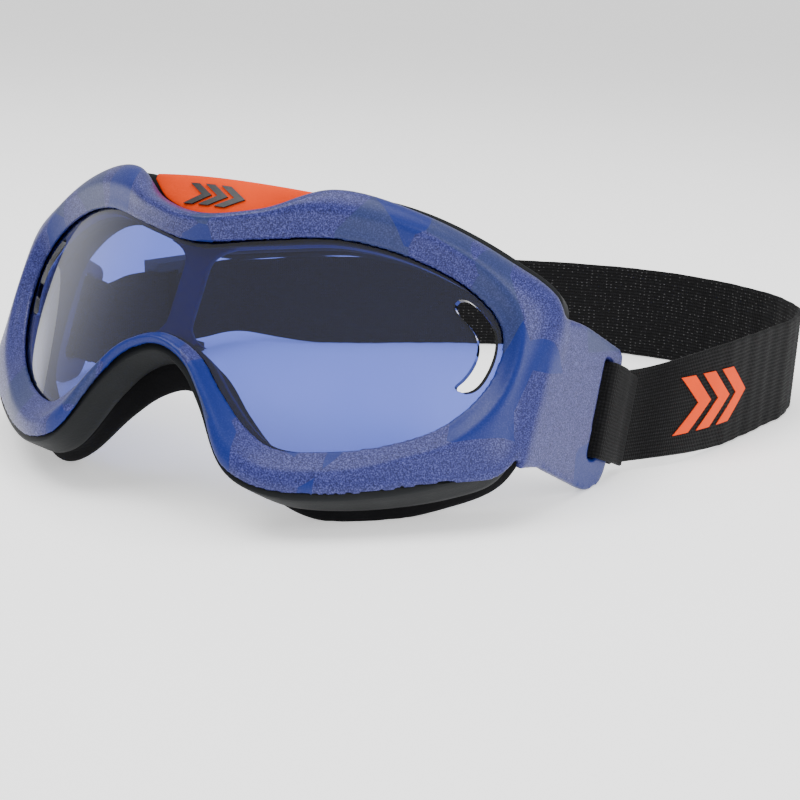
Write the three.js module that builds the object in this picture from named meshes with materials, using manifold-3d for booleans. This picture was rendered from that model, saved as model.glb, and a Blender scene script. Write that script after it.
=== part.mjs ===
// Sports protective goggles on an elastic head strap, lying on a table as they come off the head.
// Millimetres, +Z up, the wearer faces -Y and their left hand is on +X. The table top is z = 0.
//
// The front is modelled in its own frame, where the goggles look straight along -Y: x across,
// y back from the middle of the lens, z up. That whole frame then leans back onto the table.
import * as THREE from 'three';
import { mergeVertices } from 'three/addons/utils/BufferGeometryUtils.js';
import Module from 'manifold-3d';

// ---------------------------------------------------------------- driving dimensions
const LENS_WIDTH = 148; // clear opening, side to side
const LENS_HEIGHT = 56; // clear opening, brow to the bottom of a lobe
const WRAP_RISE = 46.7; // how far the lens sweeps back at its ends, square term
const WRAP_EASE = 10.9; // and the fourth-power term that straightens the sweep again
const LENS_THICKNESS = 1.8;
const LENS_SEAT = 3.6; // how far the lens reaches in behind the bezel
const BEZEL_RISE = 5.2; // height of the bezel's crest in front of the lens
const SHELL_WALL = 2;
const SEAL_THICKNESS = 1;
const INNER_FRAME_THICKNESS = 2.6;
const POST_WIDTH = 7; // centre post behind the lens
const FLANGE_THICKNESS = 3.2;
const FLANGE_LEDGE = 1.3; // how far the flange shows outside the shell
const CUSHION_DEPTH = 11;
const VENT_WIDTH = 4.6;
const VENT_INSET = 4.4; // middle of a vent slot to the lens opening's edge
const INSERT_THICKNESS = 1.8;
const EMBLEM_LENGTH = 20;
const EMBLEM_HEIGHT = 6;
const EMBLEM_RISE = 0.6;
const SCREW_RADIUS = 1.1;
const SCREW_LENGTH = 6;
const SCREW_HEAD_RADIUS = 2.1;
const SCREW_HEAD_THICKNESS = 1.2;
const SCREW_SIDES = 10;
const BOSS_RADIUS = 2.2;
const BOSS_ROOT = -1.8; // where a boss starts, inside the shell's wall
const EAR_THICKNESS = 3;
const EAR_LENGTH = 44.2; // root to rear edge, along the ear
const SLOT_LENGTH = 28.2;
const SLOT_WIDTH = 5;
const STRAP_WIDTH = 32.5;
const STRAP_WIDTH_AT_SLOT = 27;
const STRAP_THICKNESS = 1.6;
const SWING_RADIUS = 19; // the loops end and the strap begins on this radius round the swing axis
const PATCH_LENGTH = 38;
const PATCH_HEIGHT = 17;
const PATCH_THICKNESS = 0.5;
const SLIDER_LENGTH = 20;
const SLIDER_RAIL = 3;
const SLIDER_BAR = 3.4;
const SLIDER_PLATE = 1.8;
const KEEPER_THICKNESS = 1.2;
const LEAN = THREE.MathUtils.degToRad(30.5);
const REST_HEIGHT = 50; // from the table to the middle of the lens opening's frame
const GAP = 0.3; // between pieces that touch
const RUNNING_GAP = 0.5; // between pieces that move past each other

// ---------------------------------------------------------------- outlines
// Each list walks the +X half of an outline from the top middle to the bottom middle. The points
// are shares of the lens opening's half width and half height. Equal places in the lists lie
// beside each other, so a ring's cross-section at any place runs from one outline to the next.
const LENS_EDGE = [
  [0, 0.657], [0.239, 0.793], [0.472, 0.979], [0.686, 1.01], [0.882, 0.893],
  [0.993, 0.643], [1, 0.164], [0.909, -0.343], [0.773, -0.664], [0.608, -0.893],
  [0.453, -0.989], [0.362, -0.875], [0.259, -0.636], [0.15, -0.354], [0, -0.225],
];
const SHELL_EDGE = [
  [0, 0.955], [0.22, 1.1], [0.412, 1.439], [0.686, 1.464], [0.953, 1.314],
  [1.145, 1.07], [1.166, 0.32], [1.115, -0.625], [0.955, -0.886], [0.657, -1.271],
  [0.466, -1.375], [0.338, -1.268], [0.209, -0.743], [0.114, -0.464], [0, -0.357],
];
const FLANGE_EDGE = [
  [0, 1.3], [0.22, 1.33], [0.418, 1.46], [0.69, 1.51], [0.957, 1.365],
  [1.13, 1.12], [1.1, 0.32], [1.06, -0.62], [0.94, -0.93], [0.66, -1.315],
  [0.47, -1.42], [0.34, -1.31], [0.2, -0.8], [0.105, -0.53], [0, -0.42],
];
const CUSHION_EDGE = [
  [0, 1.25], [0.21, 1.28], [0.41, 1.41], [0.675, 1.47], [0.92, 1.32],
  [1.07, 1.03], [1.09, 0.32], [1.04, -0.6], [0.88, -1.02], [0.66, -1.36],
  [0.51, -1.43], [0.4, -1.33], [0.24, -0.95], [0.115, -0.69], [0, -0.58],
];
// How far each edge lies behind the lens surface, place by place.
const SHELL_EDGE_DEPTH = [3.2, 3.2, 2, 2.5, 3.2, 2.6, 6, -1.5, -3.9, -3.4, -3, -2.6, -2.4, -2.3, -2.3];
// Where the flange stays behind the brow insert instead of reaching up to the shell.
const FLANGE_LIP_DEPTH = [6.9, 6.9, 6.3, 0, 0, 0, 0, -9, -9, -9, -9, -9, -9, -9, -9];
const STEPS_BETWEEN = 3; // sections between two neighbouring outline points

// ---------------------------------------------------------------- manifold helpers
const wasm = await Module();
wasm.setup();

function toSolid(geometry) {
  const bare = new THREE.BufferGeometry();
  bare.setAttribute('position', geometry.attributes.position.clone());
  if (geometry.index) bare.setIndex(geometry.index.clone());
  const merged = mergeVertices(bare, 1e-4);
  const triangles = [];
  const source = merged.index.array;
  for (let k = 0; k < source.length; k += 3) {
    const [a, b, c] = [source[k], source[k + 1], source[k + 2]];
    if (a !== b && b !== c && c !== a) triangles.push(a, b, c);
  }
  return new wasm.Manifold(new wasm.Mesh({
    numProp: 3,
    vertProperties: new Float32Array(merged.attributes.position.array),
    triVerts: new Uint32Array(triangles),
  }));
}

function toGeometry(solid) {
  const mesh = solid.getMesh();
  const geometry = new THREE.BufferGeometry();
  geometry.setAttribute('position', new THREE.BufferAttribute(mesh.vertProperties, 3));
  geometry.setIndex(new THREE.BufferAttribute(mesh.triVerts, 1));
  return geometry;
}

// A solid whose cross-sections are the given loops of points, joined one to the next. A closed
// loft joins its last section to its first; an open one is capped at both ends.
function loft(sections, closed) {
  const positions = [];
  const indices = [];
  const around = sections[0].length;
  for (const section of sections) {
    for (const p of section) positions.push(p.x, p.y, p.z);
  }
  const spans = closed ? sections.length : sections.length - 1;
  for (let s = 0; s < spans; s++) {
    const here = s * around;
    const next = ((s + 1) % sections.length) * around;
    for (let k = 0; k < around; k++) {
      const j = (k + 1) % around;
      indices.push(here + k, next + k, next + j, here + k, next + j, here + j);
    }
  }
  if (!closed) {
    const last = (sections.length - 1) * around;
    for (let k = 1; k < around - 1; k++) {
      indices.push(0, k, k + 1);
      indices.push(last, last + k + 1, last + k);
    }
  }
  const geometry = new THREE.BufferGeometry();
  geometry.setAttribute('position', new THREE.Float32BufferAttribute(positions, 3));
  geometry.setIndex(indices);
  return facingOut(geometry);
}

function facingOut(geometry) {
  const p = geometry.attributes.position;
  const index = geometry.index.array;
  const [a, b, c] = [new THREE.Vector3(), new THREE.Vector3(), new THREE.Vector3()];
  let volume = 0;
  for (let k = 0; k < index.length; k += 3) {
    a.fromBufferAttribute(p, index[k]);
    b.fromBufferAttribute(p, index[k + 1]);
    c.fromBufferAttribute(p, index[k + 2]);
    volume += a.dot(b.cross(c));
  }
  if (volume < 0) {
    for (let k = 0; k < index.length; k += 3) {
      [index[k], index[k + 1]] = [index[k + 1], index[k]];
    }
  }
  return geometry;
}

// ---------------------------------------------------------------- the wrapped front
const HALF_WIDTH = LENS_WIDTH / 2;
const HALF_HEIGHT = LENS_HEIGHT / 2;
const LAST = LENS_EDGE.length - 1;
const PLACES = 2 * LAST * STEPS_BETWEEN; // sections in a whole ring
const QUARTER = (LAST * STEPS_BETWEEN) / 2;

function wrapDepth(x) {
  const u = x / HALF_WIDTH;
  return WRAP_RISE * u ** 2 - WRAP_EASE * u ** 4;
}

// The whole outline, both halves, smoothed through its points and cut into PLACES points.
function ring(half) {
  const right = half.map(([x, z]) => new THREE.Vector3(x * HALF_WIDTH, 0, z * HALF_HEIGHT));
  const left = right.slice(1, -1).reverse().map((p) => new THREE.Vector3(-p.x, 0, p.z));
  const curve = new THREE.CatmullRomCurve3([...right, ...left], true, 'centripetal');
  return Array.from({ length: PLACES }, (_, k) => curve.getPoint(k / PLACES));
}

// One number for each place of a ring, eased between the numbers at the outline's points.
function profile(values) {
  return Array.from({ length: PLACES }, (_, k) => {
    const along = Math.min(k, PLACES - k) / STEPS_BETWEEN;
    const low = Math.min(Math.floor(along), LAST - 1);
    const share = THREE.MathUtils.smoothstep(along - low, 0, 1);
    return THREE.MathUtils.lerp(values[low], values[low + 1], share);
  });
}

const lensEdge = ring(LENS_EDGE);
const shellEdge = ring(SHELL_EDGE);
const flangeEdge = ring(FLANGE_EDGE);
const cushionEdge = ring(CUSHION_EDGE);
const shellEdgeDepth = profile(SHELL_EDGE_DEPTH);
const flangeLip = profile(FLANGE_LIP_DEPTH);
const bezelWidth = lensEdge.map((p, k) => p.distanceTo(shellEdge[k]));
const seat = bezelWidth.map((w) => Math.min(LENS_SEAT, 0.42 * w));
const shellWall = bezelWidth.map((w, k) => Math.min(SHELL_WALL, w - seat[k] - GAP));

// A point on the way from the lens opening's edge to another outline: reach millimetres out,
// and depth millimetres behind the lens surface.
function between(k, outer, reach, depth) {
  const way = outer[k].clone().sub(lensEdge[k]);
  const p = lensEdge[k].clone().addScaledVector(way.normalize(), reach);
  return new THREE.Vector3(p.x, wrapDepth(p.x) + depth, p.z);
}

function ringSolid(section) {
  return loft(Array.from({ length: PLACES }, (_, k) => section(k)), true);
}

// ---------------------------------------------------------------- lens
const LENS_BACK = LENS_THICKNESS;
const SEAL_FRONT = LENS_BACK + GAP;
const SEAL_BACK = SEAL_FRONT + SEAL_THICKNESS;
const INNER_FRONT = SEAL_BACK + GAP;
const INNER_BACK = INNER_FRONT + INNER_FRAME_THICKNESS;
const FLANGE_FRONT = INNER_BACK + 2 * GAP;
const FLANGE_BACK = FLANGE_FRONT + FLANGE_THICKNESS;
const CUSHION_FRONT = FLANGE_BACK + GAP;
const CUSHION_BACK = CUSHION_FRONT + CUSHION_DEPTH;
const LENS_ROWS = 5;

// The lens is built from rungs that run from the upper edge to the lower one.
function lensSheet() {
  const rungs = [];
  for (let r = -QUARTER; r <= QUARTER; r++) {
    const upper = (r + PLACES) % PLACES;
    const lower = (2 * QUARTER - r + PLACES) % PLACES;
    const top = between(upper, shellEdge, seat[upper], 0);
    const bottom = between(lower, shellEdge, seat[lower], 0);
    const front = [];
    const back = [];
    for (let row = 0; row <= LENS_ROWS; row++) {
      const p = top.clone().lerp(bottom, row / LENS_ROWS);
      front.push(new THREE.Vector3(p.x, wrapDepth(p.x), p.z));
      back.unshift(new THREE.Vector3(p.x, wrapDepth(p.x) + LENS_BACK, p.z));
    }
    rungs.push([...front, ...back]);
  }
  return loft(rungs, false);
}

// A slot that follows the lens opening's edge near a temple, with round ends.
const VENT_START = 3.9; // places along the outline, counted in outline points
const VENT_END = 6.35;
function ventCutter(side) {
  const sections = [];
  const steps = 14;
  for (let s = 0; s <= steps; s++) {
    const along = THREE.MathUtils.lerp(VENT_START, VENT_END, s / steps) * STEPS_BETWEEN;
    const low = Math.floor(along);
    const inset = (k, reach) => between(side > 0 ? k : PLACES - k, shellEdge, -reach, 0);
    const roundness = Math.sqrt(Math.max(0, 1 - Math.abs((2 * s) / steps - 1) ** 12));
    const half = (VENT_WIDTH / 2) * Math.max(roundness, 0.35);
    const corner = (reach, depth) => {
      const p = inset(low, reach).lerp(inset(low + 1, reach), along - low);
      return new THREE.Vector3(p.x, wrapDepth(p.x) + depth, p.z);
    };
    const [near, far] = [VENT_INSET - half, VENT_INSET + half];
    sections.push([corner(near, -3), corner(far, -3), corner(far, 5), corner(near, 5)]);
  }
  return toSolid(loft(sections, false));
}

function lensGeometry() {
  const sheet = toSolid(lensSheet()).subtract(ventCutter(1)).subtract(ventCutter(-1));
  return toGeometry(clearOfBosses(sheet));
}

// ---------------------------------------------------------------- rings behind the lens
function sealGeometry() {
  const ring = ringSolid((k) => [
    between(k, shellEdge, -0.5, SEAL_FRONT),
    between(k, shellEdge, seat[k], SEAL_FRONT),
    between(k, shellEdge, seat[k], SEAL_BACK),
    between(k, shellEdge, -0.5, SEAL_BACK),
  ]);
  return toGeometry(clearOfBosses(toSolid(ring)));
}

function innerFrameGeometry() {
  const rim = ringSolid((k) => [
    between(k, shellEdge, -0.2, INNER_FRONT),
    between(k, shellEdge, seat[k], INNER_FRONT),
    between(k, shellEdge, seat[k], INNER_BACK),
    between(k, shellEdge, -0.2, INNER_BACK),
  ]);
  const top = lensEdge[0].z + 1;
  const bottom = lensEdge[2 * QUARTER].z - 1;
  const flare = POST_WIDTH * 0.9;
  const half = POST_WIDTH / 2;
  const post = new THREE.Shape();
  post.moveTo(-half - flare, top);
  post.lineTo(half + flare, top);
  post.quadraticCurveTo(half, top - 2, half, top - flare);
  post.lineTo(half, bottom + flare);
  post.quadraticCurveTo(half, bottom + 2, half + flare, bottom);
  post.lineTo(-half - flare, bottom);
  post.quadraticCurveTo(-half, bottom + 2, -half, bottom + flare);
  post.lineTo(-half, top - flare);
  post.quadraticCurveTo(-half, top - 2, -half - flare, top);
  const plate = new THREE.ExtrudeGeometry(post, {
    depth: INNER_FRAME_THICKNESS - 0.8,
    bevelEnabled: false,
    curveSegments: 4,
  });
  plate.rotateX(Math.PI / 2);
  plate.translate(0, INNER_BACK, 0);
  return toGeometry(clearOfBosses(toSolid(rim).add(toSolid(plate))));
}

// ---------------------------------------------------------------- ears
// An ear is a flat plate. Its own axes: u back along the ear, z up, outward through its thickness.
const EAR_ROOT = new THREE.Vector2(1.164 * HALF_WIDTH, 45); // x, y of the ear's outer face
const EAR_TIP = new THREE.Vector2(1.164 * HALF_WIDTH + 6, 84);
const EAR_TURN = Math.atan2(EAR_TIP.y - EAR_ROOT.y, EAR_TIP.x - EAR_ROOT.x);
const SLOT_MIDDLE = new THREE.Vector2(31.9, 11.8); // u, z
const SLOT_TILT = THREE.MathUtils.degToRad(6.8);

function earOutline() {
  const shape = new THREE.Shape();
  shape.moveTo(-3, 27);
  shape.lineTo(14, 29.2);
  shape.lineTo(EAR_LENGTH - 9.5, 30.4);
  shape.quadraticCurveTo(EAR_LENGTH - 6, 30.4, EAR_LENGTH - 5.6, 27);
  shape.lineTo(EAR_LENGTH, -1);
  shape.quadraticCurveTo(EAR_LENGTH + 0.3, -6, EAR_LENGTH - 5, -9.4);
  shape.quadraticCurveTo(EAR_LENGTH - 8, -10.9, EAR_LENGTH - 13, -11);
  shape.lineTo(7, -12);
  shape.lineTo(-3, -15.5);
  shape.closePath();
  return shape;
}

function slotOutline(clearance) {
  const half = new THREE.Vector2(SLOT_WIDTH / 2 + clearance, SLOT_LENGTH / 2 + clearance);
  const corner = 1.6;
  const points = [];
  for (const [sx, sz, start] of [[1, 1, 0], [-1, 1, 1], [-1, -1, 2], [1, -1, 3]]) {
    for (let a = 0; a <= 2; a++) {
      const angle = ((start + a / 2) * Math.PI) / 2;
      const x = sx * (half.x - corner) + corner * Math.cos(angle);
      const z = sz * (half.y - corner) + corner * Math.sin(angle);
      const turned = new THREE.Vector2(x, z).rotateAround(new THREE.Vector2(), SLOT_TILT);
      points.push(turned.add(SLOT_MIDDLE));
    }
  }
  return new THREE.Path(points);
}

// Moves a shape drawn in (u, z) and raised along the third axis onto one side of the goggles.
function earMatrix(side) {
  const back = new THREE.Vector3(side * Math.cos(EAR_TURN), Math.sin(EAR_TURN), 0);
  const up = new THREE.Vector3(0, 0, 1);
  const out = new THREE.Vector3(side * Math.sin(EAR_TURN), -Math.cos(EAR_TURN), 0);
  const root = new THREE.Vector3(side * EAR_ROOT.x, EAR_ROOT.y, 0);
  return new THREE.Matrix4().makeBasis(back, up, out).setPosition(root);
}

function earPlate(side, inner, outer, hasSlot) {
  const shape = earOutline();
  if (hasSlot) shape.holes.push(slotOutline(0));
  const plate = new THREE.ExtrudeGeometry(shape, {
    depth: outer - inner,
    bevelEnabled: false,
    curveSegments: 4,
  });
  plate.translate(0, 0, inner);
  plate.applyMatrix4(earMatrix(side));
  const bare = new THREE.BufferGeometry();
  bare.setAttribute('position', plate.attributes.position);
  bare.setIndex(Array.from({ length: plate.attributes.position.count }, (_, k) => k));
  return toSolid(facingOut(bare));
}

// ---------------------------------------------------------------- retaining screws
// Six screws from the face side draw the flange against the shell, with the lens, its seal and
// the inner frame clamped between them. Each one turns into a boss on the inside of the shell.
const SCREW_PLACES = [4, 11, 27, PLACES - 27, PLACES - 11, PLACES - 4];

function screwFoot(k) {
  const reach = (seat[k] + bezelWidth[k] - shellWall[k]) / 2 + 2 * GAP;
  const p = between(k, shellEdge, reach, 0);
  const slope = Math.atan((wrapDepth(p.x + 0.01) - wrapDepth(p.x - 0.01)) / 0.02);
  return { p, slope };
}

// How far along a screw's axis a given depth behind the lens surface is met.
function alongScrew(k, depth) {
  return depth * Math.cos(screwFoot(k).slope);
}

// A cylinder on a screw's axis, which stands square to the wrapped surface.
function screwCylinder(k, radius, from, to) {
  const cylinder = new THREE.CylinderGeometry(radius, radius, to - from, SCREW_SIDES);
  const { p, slope } = screwFoot(k);
  cylinder.translate(0, (from + to) / 2, 0);
  cylinder.rotateZ(slope);
  cylinder.translate(p.x, p.y, p.z);
  return toSolid(cylinder);
}

function screwGeometry(k) {
  const top = alongScrew(k, FLANGE_BACK) - GAP;
  const neck = top - SCREW_HEAD_THICKNESS;
  const head = screwCylinder(k, SCREW_HEAD_RADIUS, neck, top);
  return toGeometry(head.add(screwCylinder(k, SCREW_RADIUS, top - SCREW_LENGTH, neck + GAP)));
}

function withBosses(shell) {
  let result = shell;
  for (const k of SCREW_PLACES) {
    const root = alongScrew(k, BOSS_ROOT);
    const rear = alongScrew(k, FLANGE_FRONT) - GAP;
    const tip = alongScrew(k, FLANGE_BACK) - SCREW_LENGTH - 2 * GAP;
    result = result
      .add(screwCylinder(k, BOSS_RADIUS, root, rear))
      .subtract(screwCylinder(k, SCREW_RADIUS + GAP, tip, rear + 1));
  }
  return result;
}

// What the bosses pass on their way to the flange is notched round them.
function clearOfBosses(solid) {
  let result = solid;
  for (const k of SCREW_PLACES) {
    const [root, rear] = [alongScrew(k, BOSS_ROOT), alongScrew(k, FLANGE_FRONT)];
    result = result.subtract(screwCylinder(k, BOSS_RADIUS + GAP, root, rear));
  }
  return result;
}

function withScrewHoles(flange) {
  let result = flange;
  for (const k of SCREW_PLACES) {
    const front = alongScrew(k, FLANGE_FRONT);
    const back = alongScrew(k, FLANGE_BACK);
    const recess = back - SCREW_HEAD_THICKNESS - 2 * GAP;
    result = result
      .subtract(screwCylinder(k, BOSS_RADIUS + GAP, front - 15, front))
      .subtract(screwCylinder(k, SCREW_RADIUS + GAP, front - 1, back + 2))
      .subtract(screwCylinder(k, SCREW_HEAD_RADIUS + GAP, recess, back + 2));
  }
  return result;
}

// ---------------------------------------------------------------- shell
// Cross-section of the bezel: inner lip, bevel up to the crest, rolled outer wall and its inside.
function shellSection(k) {
  const w = bezelWidth[k];
  const edge = shellEdgeDepth[k];
  const wall = shellWall[k];
  const crest = Math.min(0.58 * w, 6.4);
  const mix = (share) => THREE.MathUtils.lerp(-BEZEL_RISE, edge, share);
  return [
    between(k, shellEdge, 0, -1.3),
    between(k, shellEdge, crest * 0.45, -2.7),
    between(k, shellEdge, crest, -BEZEL_RISE),
    between(k, shellEdge, THREE.MathUtils.lerp(crest, w, 0.5), mix(0.12)),
    between(k, shellEdge, THREE.MathUtils.lerp(crest, w, 0.88), mix(0.45)),
    between(k, shellEdge, w, edge),
    between(k, shellEdge, w - wall, edge),
    between(k, shellEdge, w - wall, Math.min(mix(0.7), -GAP)),
    between(k, shellEdge, seat[k] + GAP, -GAP),
    between(k, shellEdge, 0, -GAP),
  ];
}

// Everything below the table is cut off, so soft pieces and ear tips lie flat on it.
function tableCutter() {
  const block = new THREE.BoxGeometry(4 * HALF_WIDTH, 400, 60);
  block.translate(0, 50, -30);
  block.translate(0, 0, -REST_HEIGHT);
  block.rotateX(LEAN);
  return toSolid(block);
}

function shellGeometry() {
  let solid = withBosses(toSolid(ringSolid(shellSection)));
  for (const side of [1, -1]) solid = solid.add(earPlate(side, -EAR_THICKNESS, 0, true));
  return toGeometry(solid.subtract(tableCutter()));
}

// ---------------------------------------------------------------- flange and cushion
function clearOfEars(solid) {
  let result = solid;
  for (const side of [1, -1]) {
    result = result.subtract(earPlate(side, -EAR_THICKNESS - 0.5, 20, false));
  }
  return result;
}

// The flange closes the shell from behind. Its skirt reaches forward to the shell's rear edge.
function flangeGeometry() {
  const solid = toSolid(ringSolid((k) => {
    const w = lensEdge[k].distanceTo(flangeEdge[k]);
    const inner = seat[k] + 3 * GAP;
    const wall = Math.min(bezelWidth[k] - shellWall[k], w - 0.8);
    const lip = Math.max(shellEdgeDepth[k] + GAP, flangeLip[k]);
    return [
      between(k, flangeEdge, GAP, FLANGE_FRONT),
      between(k, flangeEdge, inner, FLANGE_FRONT),
      between(k, flangeEdge, inner + GAP, Math.max(2 * GAP, lip - 4)),
      between(k, flangeEdge, Math.max(wall, inner + 2 * GAP), lip + GAP),
      between(k, flangeEdge, w, lip),
      between(k, flangeEdge, w, FLANGE_BACK),
      between(k, flangeEdge, GAP, FLANGE_BACK),
    ];
  }));
  return toGeometry(withScrewHoles(clearOfEars(solid)));
}

function cushionGeometry() {
  const solid = toSolid(ringSolid((k) => {
    const front = lensEdge[k].distanceTo(flangeEdge[k]) - FLANGE_LEDGE;
    const back = lensEdge[k].distanceTo(cushionEdge[k]);
    return [
      between(k, flangeEdge, 0.8, CUSHION_FRONT),
      between(k, flangeEdge, front, CUSHION_FRONT),
      between(k, cushionEdge, back, CUSHION_BACK - 3),
      between(k, cushionEdge, back - 1.6, CUSHION_BACK),
      between(k, cushionEdge, back - Math.min(7, 0.55 * back), CUSHION_BACK),
      between(k, cushionEdge, Math.min(1.6, 0.2 * back), CUSHION_BACK - 4),
    ];
  }));
  return toGeometry(clearOfEars(solid).subtract(tableCutter()));
}

// ---------------------------------------------------------------- brow insert and emblem
const INSERT_TOP = 38.3;
const INSERT_RISE = 1; // of its top edge, from the middle to the ends
const INSERT_SLOPE = 0.1; // how far it falls back for each millimetre up
const INSERT_PLACES = 5; // places each side of the middle

function insertFront(x, z) {
  return wrapDepth(x) + shellEdgeDepth[0] + INSERT_SLOPE * (z - shellEdge[0].z);
}

function browInsertGeometry() {
  const sections = [];
  for (let r = -INSERT_PLACES; r <= INSERT_PLACES; r++) {
    const k = (r + PLACES) % PLACES;
    const low = between(k, shellEdge, bezelWidth[k] + GAP, shellEdgeDepth[k]);
    const share = (low.x / shellEdge[INSERT_PLACES].x) ** 2;
    const high = low.clone();
    high.z = Math.max(INSERT_TOP + INSERT_RISE * share, low.z + 0.8);
    low.y = insertFront(low.x, low.z);
    high.y = insertFront(high.x, high.z);
    const thick = new THREE.Vector3(0, INSERT_THICKNESS, 0);
    sections.push([low, high, high.clone().add(thick), low.clone().add(thick)]);
  }
  return loft(sections, false);
}

const CHEVRON_SHARES = Array.from({ length: 13 }, (_, k) => k / 12);

// A plain arrowhead bar, raised from a surface: place(s, v, n) gives the point s along, v up and
// n out from it.
function chevron(length, height, bar, point, rise, place) {
  const sections = [];
  const steps = 6;
  for (let r = 0; r <= steps; r++) {
    const v = (r / steps - 0.5) * height;
    const start = -length / 2 + point * (1 - Math.abs((2 * v) / height));
    const across = CHEVRON_SHARES.map((share) => start + share * bar);
    const inner = across.map((at) => place(at, v, GAP));
    const outer = across.map((at) => place(at, v, GAP + rise)).reverse();
    sections.push([...inner, ...outer]);
  }
  return loft(sections, false);
}

function browEmblemGeometry() {
  const middle = 32.9;
  const place = (s, v, n) => {
    return new THREE.Vector3(s, insertFront(s, middle + v) - n, middle + v);
  };
  const point = EMBLEM_LENGTH * 0.3;
  return chevron(EMBLEM_LENGTH, EMBLEM_HEIGHT, EMBLEM_LENGTH - point, point, EMBLEM_RISE, place);
}

// ---------------------------------------------------------------- strap
// A point fixed to an ear, in the table's frame: u back along the ear, z up it, n out from it.
const leanBack = new THREE.Matrix4().makeRotationX(-LEAN).setPosition(0, 0, REST_HEIGHT);
function earPoint(side, u, z, n) {
  return new THREE.Vector3(u, z, n).applyMatrix4(earMatrix(side)).applyMatrix4(leanBack);
}

const BAR_U = SLOT_WIDTH / 2 + 4; // bar's middle, from the slot's middle
// The ear's rearmost corner seen along the slot's own axis, which the loop's fold clears.
const earCorner = new THREE.Vector2(EAR_LENGTH, -1).sub(SLOT_MIDDLE);
const EAR_REAR_U = earCorner.rotateAround(new THREE.Vector2(), -SLOT_TILT).x;
const LOOP_REAR_U = EAR_REAR_U + GAP + 1 + STRAP_THICKNESS;
function slotPoint(side, u, z, n) {
  const at = new THREE.Vector2(u, z).rotateAround(new THREE.Vector2(), SLOT_TILT).add(SLOT_MIDDLE);
  return earPoint(side, at.x, at.y, n);
}

const swing = slotPoint(1, BAR_U, 0, -EAR_THICKNESS / 2); // on the swing axis, which is along X
const slotTop = slotPoint(1, 0, 1, 0);
const slotUp = slotTop.sub(slotPoint(1, 0, 0, 0)); // along the slot, the same on both sides
const FLOOR_MIDDLE = STRAP_WIDTH / 2; // height of the strap's middle where it stands on its edge

const nearEnd = slotPoint(1, LOOP_REAR_U, 0, -EAR_THICKNESS / 2);
const farEnd = slotPoint(-1, LOOP_REAR_U, 0, -EAR_THICKNESS / 2);
const SLIDE_TURN = THREE.MathUtils.degToRad(16); // heading of the straight run from the far ear
const STRAIGHT_RUN = 60;
const SLIDER_MIDDLE = STRAP_WIDTH_AT_SLOT / 2 + RUNNING_GAP + SLIDER_RAIL + GAP; // height
const straightStart = new THREE.Vector3(farEnd.x, farEnd.y, SLIDER_MIDDLE);
const slideWay = new THREE.Vector3(Math.sin(SLIDE_TURN), Math.cos(SLIDE_TURN), 0);
const straightPoint = (at) => straightStart.clone().addScaledVector(slideWay, at);
const strapPath = new THREE.CatmullRomCurve3([
  nearEnd,
  new THREE.Vector3(nearEnd.x + 4, nearEnd.y + 8.5, FLOOR_MIDDLE - 1),
  new THREE.Vector3(103, 102, FLOOR_MIDDLE),
  new THREE.Vector3(112, 123, FLOOR_MIDDLE),
  new THREE.Vector3(118, 147, FLOOR_MIDDLE),
  new THREE.Vector3(122, 167, FLOOR_MIDDLE),
  new THREE.Vector3(120.5, 183, FLOOR_MIDDLE),
  new THREE.Vector3(111, 197, FLOOR_MIDDLE),
  new THREE.Vector3(92, 208, FLOOR_MIDDLE),
  new THREE.Vector3(64, 213, FLOOR_MIDDLE),
  new THREE.Vector3(30, 206, FLOOR_MIDDLE),
  new THREE.Vector3(-6, 188, FLOOR_MIDDLE),
  new THREE.Vector3(-38, 165, FLOOR_MIDDLE),
  new THREE.Vector3(-62, 150, FLOOR_MIDDLE + 0.5),
  straightPoint(STRAIGHT_RUN),
  straightPoint(STRAIGHT_RUN * 0.75),
  straightPoint(STRAIGHT_RUN * 0.5),
  straightPoint(STRAIGHT_RUN * 0.25),
  farEnd,
], false, 'centripetal');
const STRAP_STEPS = 108;
const strapLength = strapPath.getLength();

// The strap leans with the slots where it leaves them, and then turns to stand on its edge. It is
// gathered to the slots' length there, and widens where it runs free.
const NEAR_TURN = 55;
const FAR_TURN = 18;
const FAR_GATHERED = 62;
function uprightness(distance) {
  const near = THREE.MathUtils.smoothstep(distance, 0, NEAR_TURN);
  return Math.min(near, THREE.MathUtils.smoothstep(strapLength - distance, 0, FAR_TURN));
}

function strapWidth(distance) {
  const near = THREE.MathUtils.smoothstep(distance, 0, NEAR_TURN);
  const far = THREE.MathUtils.smoothstep(strapLength - distance, FAR_GATHERED, FAR_GATHERED + 30);
  return THREE.MathUtils.lerp(STRAP_WIDTH_AT_SLOT, STRAP_WIDTH, Math.min(near, far));
}

// Distance along the strap, height above its middle line as a share of half its width, and how
// far outside its middle surface.
function strapPoint(distance, share, out) {
  const t = THREE.MathUtils.clamp(distance / strapLength, 0, 1);
  const middle = strapPath.getPointAt(t);
  const along = strapPath.getTangentAt(t);
  const upright = uprightness(distance);
  const up = slotUp.clone().lerp(new THREE.Vector3(0, 0, 1), upright).normalize();
  const outward = along.clone().cross(up).normalize();
  const width = strapWidth(distance);
  middle.z += Math.max(0, (width / 2) * up.z - middle.z);
  return middle.addScaledVector(up, (share * width) / 2).addScaledVector(outward, out);
}

function strapRun(from, to, inner, outer, steps) {
  return loft(Array.from({ length: steps + 1 }, (_, k) => {
    const distance = THREE.MathUtils.lerp(from, to, k / steps);
    return [
      strapPoint(distance, -1, inner),
      strapPoint(distance, 1, inner),
      strapPoint(distance, 1, outer),
      strapPoint(distance, -1, outer),
    ];
  }), false);
}

function swingCylinder(radius) {
  const cylinder = new THREE.CylinderGeometry(radius, radius, 4 * HALF_WIDTH, 48);
  cylinder.rotateZ(Math.PI / 2);
  cylinder.translate(0, swing.y, swing.z);
  return toSolid(cylinder);
}

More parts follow.
